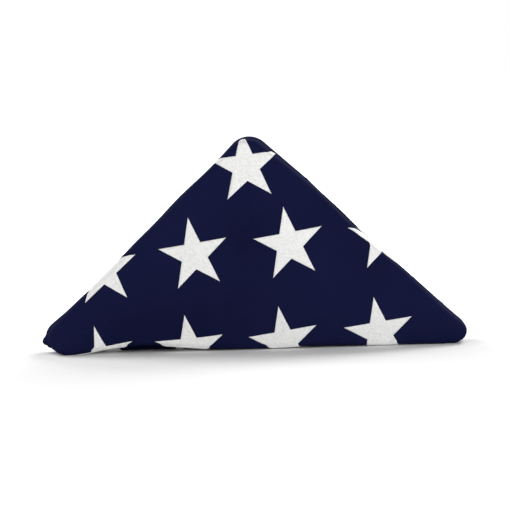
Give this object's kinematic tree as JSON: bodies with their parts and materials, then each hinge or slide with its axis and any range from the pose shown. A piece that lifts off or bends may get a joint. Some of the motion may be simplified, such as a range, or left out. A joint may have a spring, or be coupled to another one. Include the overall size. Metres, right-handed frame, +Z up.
{
  "type": "folded flag",
  "caption": "Cotton flag folded to a thick triangle that stands on its long edge, navy field with white stars outside, striped cloth rolled inside and a tucked tail.",
  "frame": {"origin": "middle of the long edge that the folded flag stands on", "axes": "+X along the long edge to the right seen from the front, +Y to the back, +Z up to the apex"},
  "size_m": [0.55, 0.0722, 0.2765],
  "materials": {
    "navy_cotton": "matt woven cotton",
    "star_embroidery": "raised white thread",
    "red_cotton": "matt woven cotton",
    "white_cotton": "matt woven cotton",
    "canvas": "undyed cotton duck",
    "brass": "rolled sheet brass"
  },
  "bodies": {
    "roll": {"back_stars": "star_embroidery", "front_stars": "star_embroidery", "red_stripe_01": "red_cotton", "red_stripe_03": "red_cotton", "red_stripe_05": "red_cotton", "red_stripe_07": "red_cotton", "red_stripe_09": "red_cotton", "red_stripe_11": "red_cotton", "red_stripe_13": "red_cotton", "union_inner_turns": "navy_cotton", "union_outer_turn": "navy_cotton", "white_stripe_02": "white_cotton", "white_stripe_04": "white_cotton", "white_stripe_06": "white_cotton", "white_stripe_08": "white_cotton", "white_stripe_10": "white_cotton", "white_stripe_12": "white_cotton"},
    "tail": {"header_band": "canvas", "lower_grommet_eyelet": "brass", "lower_grommet_washer": "brass", "tail_red_stripe_ends": "red_cotton", "tail_white_stripe_ends": "white_cotton", "union_tail": "navy_cotton", "upper_grommet_eyelet": "brass", "upper_grommet_washer": "brass"}
  },
  "joints": [
    {"name": "tail_draw", "type": "slide", "parent": "roll", "child": "tail", "axis": [0.7237, 0, 0.6901], "range_m": [0, 0.06]}
  ]
}
